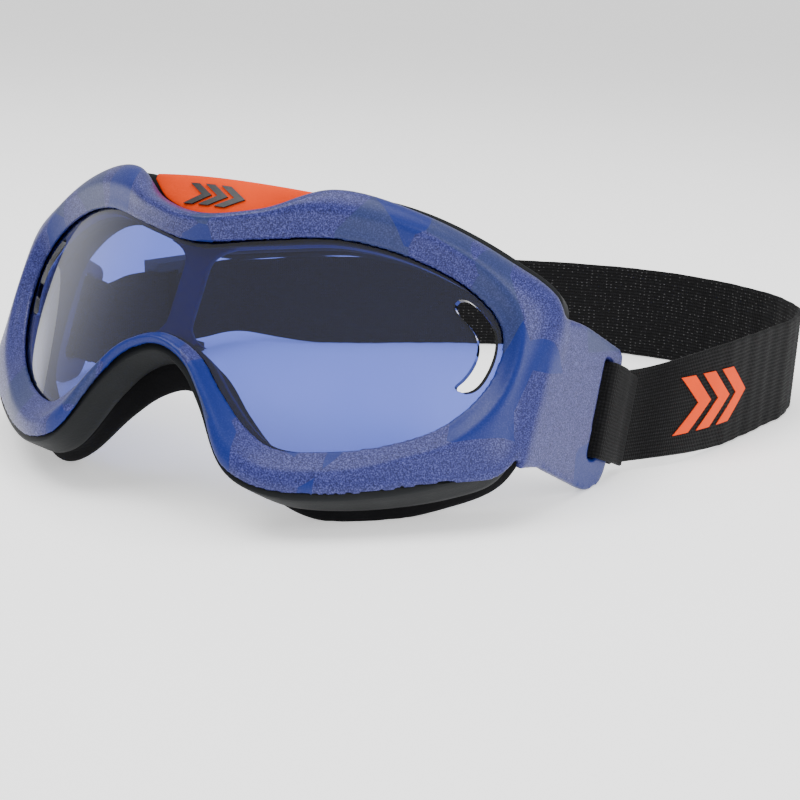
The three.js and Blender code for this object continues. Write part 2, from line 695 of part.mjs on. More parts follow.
function strapBandGeometry() {
  const half = STRAP_THICKNESS / 2;
  const run = toSolid(strapRun(0, strapLength, -half, half, STRAP_STEPS));
  return toGeometry(run.subtract(swingCylinder(SWING_RADIUS + GAP)));
}

// The strap's end, folded round the ear's bar and sewn back on itself.
function strapLoopGeometry(side) {
  const inner = new THREE.Vector2(SLOT_WIDTH / 2 - 2 * GAP, LOOP_REAR_U - STRAP_THICKNESS);
  const thick = STRAP_THICKNESS;
  const [low, high] = [-EAR_THICKNESS - GAP, GAP];
  const outline = new THREE.Shape([
    new THREE.Vector2(inner.x, low - thick),
    new THREE.Vector2(inner.y - 2, low - thick),
    new THREE.Vector2(inner.y + thick, -EAR_THICKNESS / 2 - thick),
    new THREE.Vector2(inner.y + thick, -EAR_THICKNESS / 2 + thick),
    new THREE.Vector2(inner.y - 2, high + thick),
    new THREE.Vector2(inner.x, high + thick),
    new THREE.Vector2(inner.x - thick, high - GAP),
    new THREE.Vector2(inner.x - thick, low + GAP),
  ]);
  outline.holes.push(new THREE.Path([
    new THREE.Vector2(inner.x, low),
    new THREE.Vector2(inner.y - 1, low),
    new THREE.Vector2(inner.y, -EAR_THICKNESS / 2),
    new THREE.Vector2(inner.y - 1, high),
    new THREE.Vector2(inner.x, high),
  ]));
  const loop = new THREE.ExtrudeGeometry(outline, {
    depth: STRAP_WIDTH_AT_SLOT,
    bevelEnabled: false,
    curveSegments: 1,
  });
  // The outline's (u, n) becomes the ear's, and the extrusion runs along the slot.
  const corner = slotPoint(side, 0, -STRAP_WIDTH_AT_SLOT / 2, 0);
  const u = slotPoint(side, 1, -STRAP_WIDTH_AT_SLOT / 2, 0).sub(corner);
  const n = slotPoint(side, 0, -STRAP_WIDTH_AT_SLOT / 2, 1).sub(corner);
  const z = slotPoint(side, 0, 1 - STRAP_WIDTH_AT_SLOT / 2, 0).sub(corner);
  loop.applyMatrix4(new THREE.Matrix4().makeBasis(u, n, z).setPosition(corner));
  const bare = new THREE.BufferGeometry();
  bare.setAttribute('position', loop.attributes.position);
  bare.setIndex(Array.from({ length: loop.attributes.position.count }, (_, k) => k));
  const start = side > 0 ? 0 : strapLength;
  const end = side > 0 ? 24 : strapLength - 24;
  const tongue = toSolid(strapRun(start, end, -thick, thick, 8));
  const joined = toSolid(facingOut(bare)).add(tongue);
  return toGeometry(joined.intersect(swingCylinder(SWING_RADIUS)));
}

// A plain arrowhead patch on the outside of the strap, near the left ear.
const PATCH_FROM_END = 41;
function strapPatchGeometry() {
  const place = (along, v, n) => {
    const distance = PATCH_FROM_END + along;
    return strapPoint(distance, (2 * v) / strapWidth(distance), STRAP_THICKNESS / 2 + n);
  };
  const point = PATCH_LENGTH * 0.36;
  return chevron(PATCH_LENGTH, PATCH_HEIGHT, PATCH_LENGTH - point, point, PATCH_THICKNESS, place);
}

// ---------------------------------------------------------------- strap slider
// A three-bar buckle on the straight run by the right ear. The strap passes inside the two end
// bars and outside the middle bar, which a sewn keeper wraps.
const SLIDER_FROM_END = 32;
const BAR_FACE = STRAP_THICKNESS / 2 + RUNNING_GAP; // strap's middle to what it slides past
const MIDDLE_BAR_FACE = BAR_FACE + KEEPER_THICKNESS + GAP;

// A box in the slider's own axes: along the strap, up, and out from it.
function sliderBox(along, up, out, at) {
  const box = new THREE.BoxGeometry(along, up, out);
  box.translate(at.x, at.y, at.z);
  const across = new THREE.Vector3(0, 0, 1);
  const outward = slideWay.clone().negate().cross(across);
  const basis = new THREE.Matrix4().makeBasis(slideWay.clone().negate(), across, outward);
  box.applyMatrix4(basis.setPosition(straightPoint(SLIDER_FROM_END)));
  return toSolid(box);
}

function sliderGeometry() {
  const halfSpan = STRAP_WIDTH_AT_SLOT / 2 + RUNNING_GAP;
  const height = 2 * (halfSpan + SLIDER_RAIL);
  const outside = BAR_FACE + SLIDER_PLATE;
  const inside = MIDDLE_BAR_FACE + SLIDER_PLATE;
  const place = (x, y, z) => new THREE.Vector3(x, y, z);
  const railAt = halfSpan + SLIDER_RAIL / 2;
  const endAt = (SLIDER_LENGTH - SLIDER_BAR) / 2;
  const [endOut, middleOut] = [outside - SLIDER_PLATE / 2, SLIDER_PLATE / 2 - inside];
  const depth = outside + inside;
  const railOut = (outside - inside) / 2;
  return toGeometry(sliderBox(SLIDER_LENGTH, SLIDER_RAIL, depth, place(0, railAt, railOut))
    .add(sliderBox(SLIDER_LENGTH, SLIDER_RAIL, depth, place(0, -railAt, railOut)))
    .add(sliderBox(SLIDER_BAR, height, SLIDER_PLATE, place(endAt, 0, endOut)))
    .add(sliderBox(SLIDER_BAR, height, SLIDER_PLATE, place(-endAt, 0, endOut)))
    .add(sliderBox(SLIDER_BAR, height, SLIDER_PLATE, place(0, 0, middleOut))));
}

function keeperGeometry() {
  const middle = new THREE.Vector3(0, 0, -MIDDLE_BAR_FACE - SLIDER_PLATE / 2);
  const [along, out] = [SLIDER_BAR + 2 * GAP, SLIDER_PLATE + 2 * GAP];
  const width = STRAP_WIDTH_AT_SLOT - 2;
  const wrap = sliderBox(along + 2 * KEEPER_THICKNESS, width, out + 2 * KEEPER_THICKNESS, middle);
  return toGeometry(wrap.subtract(sliderBox(along, width + 2, out, middle)));
}

// ---------------------------------------------------------------- scene
const goggles = new THREE.Group();
goggles.rotation.x = -LEAN;
goggles.position.z = REST_HEIGHT;

function mesh(name, geometry, color, roughness, metalness = 0) {
  const material = new THREE.MeshStandardMaterial({ color, roughness, metalness });
  const piece = new THREE.Mesh(geometry, material);
  piece.name = name;
  return piece;
}

const SHELL_BLUE = '#3a4a9c';
const INSERT_ORANGE = '#f4501e';
const WEBBING_BLACK = '#1b1c1e';

goggles.add(mesh('frame_shell', shellGeometry(), SHELL_BLUE, 0.4, 0.2));
goggles.add(mesh('lens', lensGeometry(), '#5a68c8', 0.05));
goggles.add(mesh('lens_seal', sealGeometry(), '#15161c', 0.7));
goggles.add(mesh('inner_frame', innerFrameGeometry(), '#39459a', 0.4));
goggles.add(mesh('gasket_flange', flangeGeometry(), '#3a3d3f', 0.6));
goggles.add(mesh('face_cushion', cushionGeometry(), '#191a1c', 0.8));
goggles.add(mesh('brow_insert', browInsertGeometry(), INSERT_ORANGE, 0.6));
goggles.add(mesh('brow_emblem', browEmblemGeometry(), '#0c0c0e', 0.5));

SCREW_PLACES.forEach((k, n) => {
  goggles.add(mesh(`flange_screw_${n + 1}`, screwGeometry(k), '#9a9ca0', 0.35, 1));
});

const strap = new THREE.Group();
strap.add(mesh('strap_band', strapBandGeometry(), WEBBING_BLACK, 0.9));
strap.add(mesh('strap_loop_left', strapLoopGeometry(1), WEBBING_BLACK, 0.9));
strap.add(mesh('strap_loop_right', strapLoopGeometry(-1), WEBBING_BLACK, 0.9));
strap.add(mesh('strap_patch', strapPatchGeometry(), INSERT_ORANGE, 0.6));
strap.add(mesh('strap_slider', sliderGeometry(), '#202226', 0.5));
strap.add(mesh('slider_keeper', keeperGeometry(), WEBBING_BLACK, 0.9));

const model = new THREE.Group();
model.add(goggles, strap);
model.updateMatrixWorld(true);

// The origin is the middle of the footprint on the table.
const overall = new THREE.Box3().setFromObject(model, true);
const footprint = overall.getCenter(new THREE.Vector3());
model.position.set(-footprint.x, -footprint.y, -overall.min.z);

export default model;
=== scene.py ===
import math

import bpy
import numpy as np
from mathutils import Matrix, Vector


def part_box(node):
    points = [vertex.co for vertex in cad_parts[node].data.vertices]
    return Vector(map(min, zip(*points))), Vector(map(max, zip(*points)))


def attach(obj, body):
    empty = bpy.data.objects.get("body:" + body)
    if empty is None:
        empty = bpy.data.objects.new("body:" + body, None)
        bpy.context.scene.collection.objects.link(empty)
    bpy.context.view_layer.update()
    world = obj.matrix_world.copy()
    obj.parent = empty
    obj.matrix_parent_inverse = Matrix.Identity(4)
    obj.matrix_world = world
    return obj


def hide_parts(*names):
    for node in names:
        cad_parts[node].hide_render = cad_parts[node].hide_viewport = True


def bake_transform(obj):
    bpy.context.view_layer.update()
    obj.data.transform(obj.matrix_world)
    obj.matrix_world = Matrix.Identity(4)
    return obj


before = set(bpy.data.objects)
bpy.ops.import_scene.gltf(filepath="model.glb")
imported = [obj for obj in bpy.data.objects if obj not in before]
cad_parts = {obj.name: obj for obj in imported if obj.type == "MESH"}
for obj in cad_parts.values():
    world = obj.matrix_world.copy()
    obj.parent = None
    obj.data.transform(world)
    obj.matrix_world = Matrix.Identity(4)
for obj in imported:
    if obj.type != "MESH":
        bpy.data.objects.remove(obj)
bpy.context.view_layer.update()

MM = 0.001

# ---------------------------------------------------------------- sizes, as on the CAD part
HALF_WIDTH = 74.0
HALF_HEIGHT = 28.0
WRAP_RISE = 46.7
WRAP_EASE = 10.9
LEAN = math.radians(30.5)
REST_HEIGHT = 50.0
GAP = 0.3
BEZEL_RISE = 5.2
LENS_THICKNESS = 1.8
LENS_SEAT = 3.6
SHELL_WALL = 2.0
SEAL_FRONT = LENS_THICKNESS + GAP
SEAL_BACK = SEAL_FRONT + 1.0
INNER_FRONT = SEAL_BACK + GAP
INNER_BACK = INNER_FRONT + 2.6
FLANGE_FRONT = INNER_BACK + 2 * GAP
FLANGE_BACK = FLANGE_FRONT + 3.2
FLANGE_LEDGE = 1.3
CUSHION_FRONT = FLANGE_BACK
CUSHION_BACK = FLANGE_BACK + GAP + 11.0
POST_WIDTH = 7.0
POST_THICKNESS = 1.8
VENT_WIDTH = 4.6
VENT_INSET = 4.4
VENT_START, VENT_END = 3.9, 6.35  # places along the outline, counted in outline points
EAR_THICKNESS = 3.0
EAR_LENGTH = 44.2
STRAP_WIDTH = 32.5
STRAP_WIDTH_AT_SLOT = 27.0
STRAP_THICKNESS = 1.6
RIBS = 28

# The front is symmetric, so its middle plane is the middle of the shell's box.
shell_low, shell_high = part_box("frame_shell")
SHELL_FRONT = -16.7  # the crest's foremost point, with the lens middle at y = 0
ORIGIN = np.array([
    (shell_low.x + shell_high.x) / 2 / MM,
    shell_low.y / MM - SHELL_FRONT,
    0.0,
])

LENS_EDGE = [
    (0, 0.657), (0.239, 0.793), (0.472, 0.979), (0.686, 1.01), (0.882, 0.893),
    (0.993, 0.643), (1, 0.164), (0.909, -0.343), (0.773, -0.664), (0.608, -0.893),
    (0.453, -0.989), (0.362, -0.875), (0.259, -0.636), (0.15, -0.354), (0, -0.225),
]
SHELL_EDGE = [
    (0, 0.955), (0.22, 1.1), (0.412, 1.439), (0.686, 1.464), (0.953, 1.314),
    (1.145, 1.07), (1.166, 0.32), (1.115, -0.625), (0.955, -0.886), (0.657, -1.271),
    (0.466, -1.375), (0.338, -1.268), (0.209, -0.743), (0.114, -0.464), (0, -0.357),
]
FLANGE_EDGE = [
    (0, 1.3), (0.22, 1.33), (0.418, 1.46), (0.69, 1.51), (0.957, 1.365),
    (1.13, 1.12), (1.1, 0.32), (1.06, -0.62), (0.94, -0.93), (0.66, -1.315),
    (0.47, -1.42), (0.34, -1.31), (0.2, -0.8), (0.105, -0.53), (0, -0.42),
]
CUSHION_EDGE = [
    (0, 1.25), (0.21, 1.28), (0.41, 1.41), (0.675, 1.47), (0.92, 1.32),
    (1.07, 1.03), (1.09, 0.32), (1.04, -0.6), (0.88, -1.02), (0.66, -1.36),
    (0.51, -1.43), (0.4, -1.33), (0.24, -0.95), (0.115, -0.69), (0, -0.58),
]
SHELL_EDGE_DEPTH = [3.2, 3.2, 2, 2.5, 3.2, 2.6, 6, -1.5, -3.9, -3.4, -3, -2.6, -2.4, -2.3, -2.3]
FLANGE_LIP_DEPTH = [6.9, 6.9, 6.3, 0, 0, 0, 0, -9, -9, -9, -9, -9, -9, -9, -9]
STEPS_BETWEEN = 8
LAST = len(LENS_EDGE) - 1
PLACES = 2 * LAST * STEPS_BETWEEN
QUARTER = LAST * STEPS_BETWEEN // 2


# ---------------------------------------------------------------- curves
def spline(points, closed, steps):
    """A smooth curve through the points, with that many steps from each one to the next."""
    p = np.asarray(points, float)
    if closed:
        padded = np.vstack([p[-1:], p, p[:2]])
    else:
        padded = np.vstack([2 * p[:1] - p[1:2], p, 2 * p[-1:] - p[-2:-1]])
    out = []
    for a, b, c, d in zip(padded, padded[1:], padded[2:], padded[3:]):
        ab, bc, cd = (max(math.sqrt(np.linalg.norm(v)), 1e-4) for v in (b - a, c - b, d - c))
        leave = ((b - a) / ab - (c - a) / (ab + bc) + (c - b) / bc) * bc
        arrive = ((c - b) / bc - (d - b) / (bc + cd) + (d - c) / cd) * bc
        for t in np.arange(steps) / steps:
            curve = -3 * b + 3 * c - 2 * leave - arrive
            twist = 2 * b - 2 * c + leave + arrive
            out.append(b + leave * t + curve * t**2 + twist * t**3)
    if not closed:
        out.append(p[-1])
    return np.array(out)


def ring(half):
    right = [(x * HALF_WIDTH, z * HALF_HEIGHT) for x, z in half]
    left = [(-x, z) for x, z in reversed(right[1:-1])]
    return spline(right + left, True, STEPS_BETWEEN)


def profile(values):
    places = np.arange(PLACES)
    along = np.minimum(places, PLACES - places) / STEPS_BETWEEN
    low = np.minimum(along.astype(int), LAST - 1)
    t = along - low
    share = t * t * (3 - 2 * t)
    v = np.asarray(values, float)
    return v[low] * (1 - share) + v[low + 1] * share


def wrap_depth(x):
    u = np.asarray(x) / HALF_WIDTH
    return WRAP_RISE * u**2 - WRAP_EASE * u**4


def mix(a, b, share):
    return a + (b - a) * share


lens_edge = ring(LENS_EDGE)
shell_edge = ring(SHELL_EDGE)
flange_edge = ring(FLANGE_EDGE)
cushion_edge = ring(CUSHION_EDGE)
shell_edge_depth = profile(SHELL_EDGE_DEPTH)
flange_lip = profile(FLANGE_LIP_DEPTH)


def breadth(outer):
    return np.linalg.norm(outer - lens_edge, axis=1)


bezel = breadth(shell_edge)
seat = np.minimum(LENS_SEAT, 0.42 * bezel)
shell_wall = np.minimum(SHELL_WALL, bezel - seat - GAP)


def between(outer, reach, depth):
    """Points, one per place, that far out from the lens opening's edge towards another outline."""
    way = (outer - lens_edge) / breadth(outer)[:, None]
    p = lens_edge + way * (np.zeros(PLACES) + reach)[:, None]
    return np.column_stack([p[:, 0], wrap_depth(p[:, 0]) + depth, p[:, 1]])


def on_table(points):
    """From the goggles' own frame to the table's, still in millimetres."""
    x, y, z = np.asarray(points, float).reshape(-1, 3).T
    c, s = math.cos(LEAN), math.sin(LEAN)
    return np.column_stack([x, y * c + z * s, z * c - y * s + REST_HEIGHT])


# ---------------------------------------------------------------- mesh helpers
def make(name, points, faces):
    """An object from points in the table's frame, in millimetres."""
    mesh = bpy.data.meshes.new(name)
    placed = (np.asarray(points, float).reshape(-1, 3) + ORIGIN) * MM
    mesh.from_pydata(placed.tolist(), [], [list(map(int, f)) for f in faces])
    mesh.update(calc_edges=True)
    obj = bpy.data.objects.new(name, mesh)
    bpy.context.scene.collection.objects.link(obj)
    return obj


def grid_faces(rows, columns, close_rows=False, close_columns=False):
    """Quads of a grid whose points run column by column within each row."""
    faces = []
    for r in range(rows if close_rows else rows - 1):
        for c in range(columns if close_columns else columns - 1):
            r2, c2 = (r + 1) % rows, (c + 1) % columns
            faces.append((
                r * columns + c,
                r2 * columns + c,
                r2 * columns + c2,
                r * columns + c2,
            ))
    return faces


def face_out(obj):
    """Turns the faces of a closed mesh outwards."""
    mesh = obj.data
    mesh.calc_loop_triangles()
    co = np.array([v.co for v in mesh.vertices])
    tri = np.array([t.vertices for t in mesh.loop_triangles])
    a, b, c = co[tri[:, 0]], co[tri[:, 1]], co[tri[:, 2]]
    if np.einsum("ij,ij->i", a, np.cross(b, c)).sum() < 0:
        mesh.flip_normals()
    return obj


def apply_modifiers(obj):
    graph = bpy.context.evaluated_depsgraph_get()
    mesh = bpy.data.meshes.new_from_object(obj.evaluated_get(graph))
    obj.modifiers.clear()
    obj.data = mesh
    return obj


def ring_piece(name, sections, creases, levels=1):
    """A closed ring lofted through sections, rounded by subdivision except along the creases."""
    points = np.stack(sections, axis=1)
    around = len(sections)
    obj = make(name, on_table(points), grid_faces(PLACES, around, True, True))
    face_out(obj)
    mesh = obj.data
    crease = mesh.attributes.new("crease_edge", "FLOAT", "EDGE")
    ends = np.array([e.vertices[:] for e in mesh.edges])
    along = ends[:, 0] % around == ends[:, 1] % around
    values = np.where(along, np.asarray(creases, float)[ends[:, 0] % around], 0)
    crease.data.foreach_set("value", values.astype(np.float32))
    subdivide(obj, levels)
    return obj


def subdivide(obj, levels):
    modifier = obj.modifiers.new("subdivision", "SUBSURF")
    modifier.levels = levels
    modifier.render_levels = levels
    return apply_modifiers(obj)


def combine(obj, other, operation):
    modifier = obj.modifiers.new("boolean", "BOOLEAN")
    modifier.operation = operation
    modifier.object = other
    modifier.solver = "EXACT"
    apply_modifiers(obj)
    bpy.data.objects.remove(other)
    return obj


def bevelled(obj, width, segments=2, angle=35):
    modifier = obj.modifiers.new("bevel", "BEVEL")
    modifier.width = width * MM
    modifier.segments = segments
    modifier.limit_method = "ANGLE"
    modifier.angle_limit = math.radians(angle)
    return apply_modifiers(obj)


def remeshed(obj, voxel):
    modifier = obj.modifiers.new("remesh", "REMESH")
    modifier.mode = "VOXEL"
    modifier.voxel_size = voxel * MM
    return apply_modifiers(obj)


def coordinates(obj):
    co = np.empty(len(obj.data.vertices) * 3, np.float32)
    obj.data.vertices.foreach_get("co", co)
    return co.reshape(-1, 3).astype(float)


def relaxed(obj, weight, rounds):
    """Evens a mesh out by moving each point towards its neighbours' mean, by its weight."""
    mesh = obj.data
    ends = np.empty(len(mesh.edges) * 2, np.int32)
    mesh.edges.foreach_get("vertices", ends)
    a, b = ends.reshape(-1, 2).T
    co = coordinates(obj)
    count = np.bincount(np.concatenate([a, b]), minlength=len(co))[:, None]
    for _ in range(rounds):
        total = np.zeros_like(co)
        for axis in range(3):
            total[:, axis] += np.bincount(a, co[b, axis], len(co))
            total[:, axis] += np.bincount(b, co[a, axis], len(co))
        co += (total / count - co) * weight[:, None]
    mesh.vertices.foreach_set("co", co.astype(np.float32).ravel())
    mesh.update()
    return obj


def smooth_shaded(obj, angle=40):
    obj.data.shade_smooth()
    obj.data.set_sharp_from_angle(angle=math.radians(angle))
    return obj


def prism(name, outline, low, high, lift):
    """A straight-sided solid: an outline raised from low to high, its points placed by lift."""
    count = len(outline)
    points = [lift(x, z, low) for x, z in outline] + [lift(x, z, high) for x, z in outline]
    faces = [tuple(range(count - 1, -1, -1)), tuple(range(count, 2 * count))]
    faces += [(k, (k + 1) % count, (k + 1) % count + count, k + count) for k in range(count)]
    obj = make(name, on_table(points), faces)
    return face_out(obj)


def table_block():
    block = make("table_block", [
        (x, y, z) for x in (-300, 300) for y in (-200, 400) for z in (-60, 0)
    ], [(0, 1, 3, 2), (4, 6, 7, 5), (0, 4, 5, 1), (2, 3, 7, 6), (0, 2, 6, 4), (1, 5, 7, 3)])
    return face_out(block)


# ---------------------------------------------------------------- ears
EAR_ROOT = (1.164 * HALF_WIDTH, 45.0)
EAR_TIP = (EAR_ROOT[0] + 6, 84.0)
EAR_TURN = math.atan2(EAR_TIP[1] - EAR_ROOT[1], EAR_TIP[0] - EAR_ROOT[0])
SLOT_MIDDLE = (31.9, 11.8)
SLOT_TILT = math.radians(6.8)
SLOT_HALF = (2.5, 14.1)


def ear_point(side, u, z, n):
    """In the goggles' frame, from the ear's own axes: u back along it, z up, n out of it."""
    c, s = math.cos(EAR_TURN), math.sin(EAR_TURN)
    return (side * (EAR_ROOT[0] + u * c + n * s), EAR_ROOT[1] + u * s - n * c, z)


def slot_point(side, u, z, n):
    c, s = math.cos(SLOT_TILT), math.sin(SLOT_TILT)
    return ear_point(side, SLOT_MIDDLE[0] + u * c - z * s, SLOT_MIDDLE[1] + u * s + z * c, n)


def bend(a, corner, b, steps=5):
    """Points of a quadratic bend from a to b."""
    a, corner, b = (np.array(v, float) for v in (a, corner, b))
    return [tuple(mix(mix(a, corner, t), mix(corner, b, t), t)) for t in np.linspace(0, 1, steps)]


def ear_outline():
    rear = EAR_LENGTH
    return (
        [(-3, 27), (14, 29.2)]
        + bend((rear - 9.5, 30.4), (rear - 6, 30.4), (rear - 5.6, 27))
        + bend((rear, -1), (rear + 0.3, -6), (rear - 5, -9.4))
        + bend((rear - 5.2, -9.5), (rear - 8, -10.9), (rear - 13, -11))
        + [(7, -12), (-3, -15.5)]
    )


def slot_outline():
    corner = 1.6
    points = []
    for sx, sz, start in ((1, 1, 0), (-1, 1, 1), (-1, -1, 2), (1, -1, 3)):
        for a in np.linspace(0, 1, 5):
            angle = (start + a) * math.pi / 2
            points.append((
                sx * (SLOT_HALF[0] - corner) + corner * math.cos(angle),
                sz * (SLOT_HALF[1] - corner) + corner * math.sin(angle),
            ))
    return points


def ear_plate(side, inner, outer):
    return prism("ear", ear_outline(), inner, outer, lambda u, z, n: ear_point(side, u, z, n))


def without_ears(obj):
    for side in (1, -1):
        combine(obj, ear_plate(side, -EAR_THICKNESS - 0.4, 20), "DIFFERENCE")
    return obj


# ---------------------------------------------------------------- the front's pieces
def build_shell():
    crest = np.minimum(0.58 * bezel, 6.4)

    def fall(share):
        return mix(-BEZEL_RISE, shell_edge_depth, share)

    sections = [
        between(shell_edge, 0, -1.3),
        between(shell_edge, crest * 0.45, -2.7),
        between(shell_edge, crest * 0.86, -BEZEL_RISE + 0.35),
        between(shell_edge, crest * 1.1, -BEZEL_RISE),
        between(shell_edge, mix(crest, bezel, 0.5), fall(0.12)),
        between(shell_edge, mix(crest, bezel, 0.88), fall(0.45)),
        between(shell_edge, bezel, fall(0.8)),
        between(shell_edge, bezel, shell_edge_depth),
        between(shell_edge, bezel - shell_wall, shell_edge_depth),
        between(shell_edge, bezel - shell_wall, np.minimum(fall(0.7), -GAP)),
        between(shell_edge, seat + GAP, -GAP),
        between(shell_edge, 0, -GAP),
    ]
    creases = [0.8, 0, 0.25, 0.25, 0, 0, 0, 0.85, 0.85, 0.4, 0.4, 0.8]
    shell = ring_piece("shell_moulding", sections, creases, 2)
    for side in (1, -1):
        ear = ear_plate(side, -EAR_THICKNESS, 0)
        slot = prism(
            "slot",
            slot_outline(),
            -EAR_THICKNESS - 2,
            2,
            lambda u, z, n: slot_point(side, u, z, n),
        )
        combine(ear, slot, "DIFFERENCE")
        bevelled(ear, 0.55, 3, 50)
        combine(shell, ear, "UNION")
    combine(shell, table_block(), "DIFFERENCE")
    remeshed(shell, 0.55)
    # The ears' roots run into the bezel in a soft fillet, and the rest keeps its edges.
    p = coordinates(shell) / MM - ORIGIN
    y = p[:, 1] * math.cos(LEAN) - (p[:, 2] - REST_HEIGHT) * math.sin(LEAN)
    near_root = np.exp(-(((y - 46) / 5) ** 2)) * (np.abs(p[:, 0]) > 78)
    relaxed(shell, 0.35 + 0 * near_root, 5)
    relaxed(shell, 0.6 * near_root, 30)
    return smooth_shaded(shell, 60)


def build_lens():
    rows = 16
    front, back = [], []
    upper = (np.arange(-QUARTER, QUARTER + 1) + PLACES) % PLACES
    lower = (2 * QUARTER - np.arange(-QUARTER, QUARTER + 1) + PLACES) % PLACES
    edge = between(shell_edge, seat, 0)
    for row in range(rows + 1):
        p = mix(edge[upper], edge[lower], row / rows)
        p[:, 1] = wrap_depth(p[:, 0])
        front.append(p)
        back.append(p + (0, LENS_THICKNESS, 0))
    loop = np.stack(front + back[::-1], axis=1)
    rungs, around = loop.shape[:2]
    faces = grid_faces(rungs, around, False, True)
    faces += [tuple(range(around)), tuple(range(rungs * around - 1, (rungs - 1) * around - 1, -1))]
    lens = face_out(make("lens_pane", on_table(loop), faces))
    for side in (1, -1):
        combine(lens, vent_cutter(side), "DIFFERENCE")
    return smooth_shaded(lens, 30)


def vent_cutter(side):
    steps = 40
    sections = []
    for s in range(steps + 1):
        along = mix(VENT_START, VENT_END, s / steps) * STEPS_BETWEEN
        low = int(along)
        round_end = math.sqrt(max(0.0, 1 - abs(2 * s / steps - 1) ** 12))
        half = VENT_WIDTH / 2 * max(round_end, 0.3)

        def corner(reach, depth):
            inset = between(shell_edge, -reach, 0)
            a, b = (inset[k if side > 0 else PLACES - k] for k in (low, low + 1))
            p = mix(a, b, along - low)
            return (p[0], float(wrap_depth(p[0])) + depth, p[2])

        near, far = VENT_INSET - half, VENT_INSET + half
        sections.append([corner(near, -3), corner(far, -3), corner(far, 5), corner(near, 5)])
    points = np.array(sections)
    faces = grid_faces(steps + 1, 4, False, True) + [(0, 1, 2, 3)]
    faces.append(tuple(range(4 * steps + 3, 4 * steps - 1, -1)))
    return face_out(make("vent", on_table(points), faces))


def build_seal():
    return smooth_shaded(ring_piece("seal_ring", [
        between(shell_edge, -0.5, SEAL_FRONT),
        between(shell_edge, seat, SEAL_FRONT),
        between(shell_edge, seat, SEAL_BACK),
        between(shell_edge, -0.5, SEAL_BACK),
    ], [0.7] * 4))


def build_inner_frame():
    rim = ring_piece("inner_rim", [
        between(shell_edge, -0.2, INNER_FRONT),
        between(shell_edge, seat, INNER_FRONT),
        between(shell_edge, seat, INNER_BACK),
        between(shell_edge, -0.2, INNER_BACK),
    ], [0.7] * 4)
    top, bottom = lens_edge[0][1] + 1, lens_edge[2 * QUARTER][1] - 1
    half, flare = POST_WIDTH / 2, POST_WIDTH * 0.9
    edge = (
        bend((half + flare, top), (half, top - 2), (half, top - flare), 9)
        + bend((half, bottom + flare), (half, bottom + 2), (half + flare, bottom), 9)
    )
    front, rear = INNER_BACK - POST_THICKNESS, INNER_BACK
    rungs = [[(-x, front, z), (x, front, z), (x, rear, z), (-x, rear, z)] for x, z in edge]
    count = len(rungs)
    faces = grid_faces(count, 4, False, True)
    faces += [(0, 1, 2, 3), tuple(range(4 * count - 1, 4 * count - 5, -1))]
    post = face_out(make("post", on_table(rungs), faces))
    bevelled(post, 0.4, 3, 50)
    combine(rim, post, "UNION")
    return smooth_shaded(rim, 35)


def build_flange():
    w = breadth(flange_edge)
    inner = seat + 3 * GAP
    wall = np.maximum(np.minimum(bezel - shell_wall, w - 0.8), inner + 2 * GAP)
    lip = np.maximum(shell_edge_depth + GAP, flange_lip)
    flange = ring_piece("flange_moulding", [
        between(flange_edge, GAP, FLANGE_FRONT),
        between(flange_edge, inner, FLANGE_FRONT),
        between(flange_edge, inner + GAP, np.maximum(2 * GAP, lip - 4)),
        between(flange_edge, wall, lip + GAP),
        between(flange_edge, w - 0.5, lip),
        between(flange_edge, w, lip + 0.5),
        between(flange_edge, w, mix(lip, FLANGE_BACK, 0.6)),
        between(flange_edge, w, FLANGE_BACK - 0.5),
        between(flange_edge, w - 0.6, FLANGE_BACK),
        between(flange_edge, GAP, FLANGE_BACK),
    ], [0.7, 0.3, 0.3, 0.7, 0.4, 0.4, 0, 0.3, 0.3, 0.7])
    return smooth_shaded(without_ears(flange), 40)


def build_cushion():
    front = breadth(flange_edge) - FLANGE_LEDGE
    back = breadth(cushion_edge)
    cushion = ring_piece("foam_cushion", [
        between(flange_edge, 0.8, CUSHION_FRONT + GAP),
        between(flange_edge, front - 0.8, CUSHION_FRONT + GAP),
        between(flange_edge, front, CUSHION_FRONT + 1.1),
        mix(between(flange_edge, front, CUSHION_FRONT + 2.2), between(
            cushion_edge, back, CUSHION_FRONT + 2.6), 0.35) - (0, 0, 0),
        between(cushion_edge, back + 0.5, mix(CUSHION_FRONT, CUSHION_BACK, 0.55)),
        between(cushion_edge, back, CUSHION_BACK - 2.6),
        between(cushion_edge, back - 1.8, CUSHION_BACK - 0.4),
        between(cushion_edge, mix(back - 1.6, back - np.minimum(7, 0.55 * back), 0.5), CUSHION_BACK),
        between(cushion_edge, back - np.minimum(7, 0.55 * back), CUSHION_BACK - 0.5),
        between(cushion_edge, np.minimum(1.6, 0.2 * back), CUSHION_BACK - 4),
        between(flange_edge, 0.8, CUSHION_FRONT + 3),
    ], [0.6, 0.5, 0.2, 0.35, 0, 0, 0, 0, 0, 0, 0.2], 2)
    without_ears(cushion)
    # The lobes are pressed flat where they stand on the table.
    co = coordinates(cushion)
    co[:, 2] = np.maximum(co[:, 2], 0.0)
    cushion.data.vertices.foreach_set("co", co.astype(np.float32).ravel())
    cushion.data.update()
    return smooth_shaded(cushion, 50)


INSERT_TOP = 38.3
INSERT_RISE = 1.0
INSERT_SLOPE = 0.1
INSERT_THICKNESS = 1.8
INSERT_SPAN = 5 * STEPS_BETWEEN // 3


def insert_front(x, z):
    return wrap_depth(x) + SHELL_EDGE_DEPTH[0] + INSERT_SLOPE * (z - shell_edge[0][1])


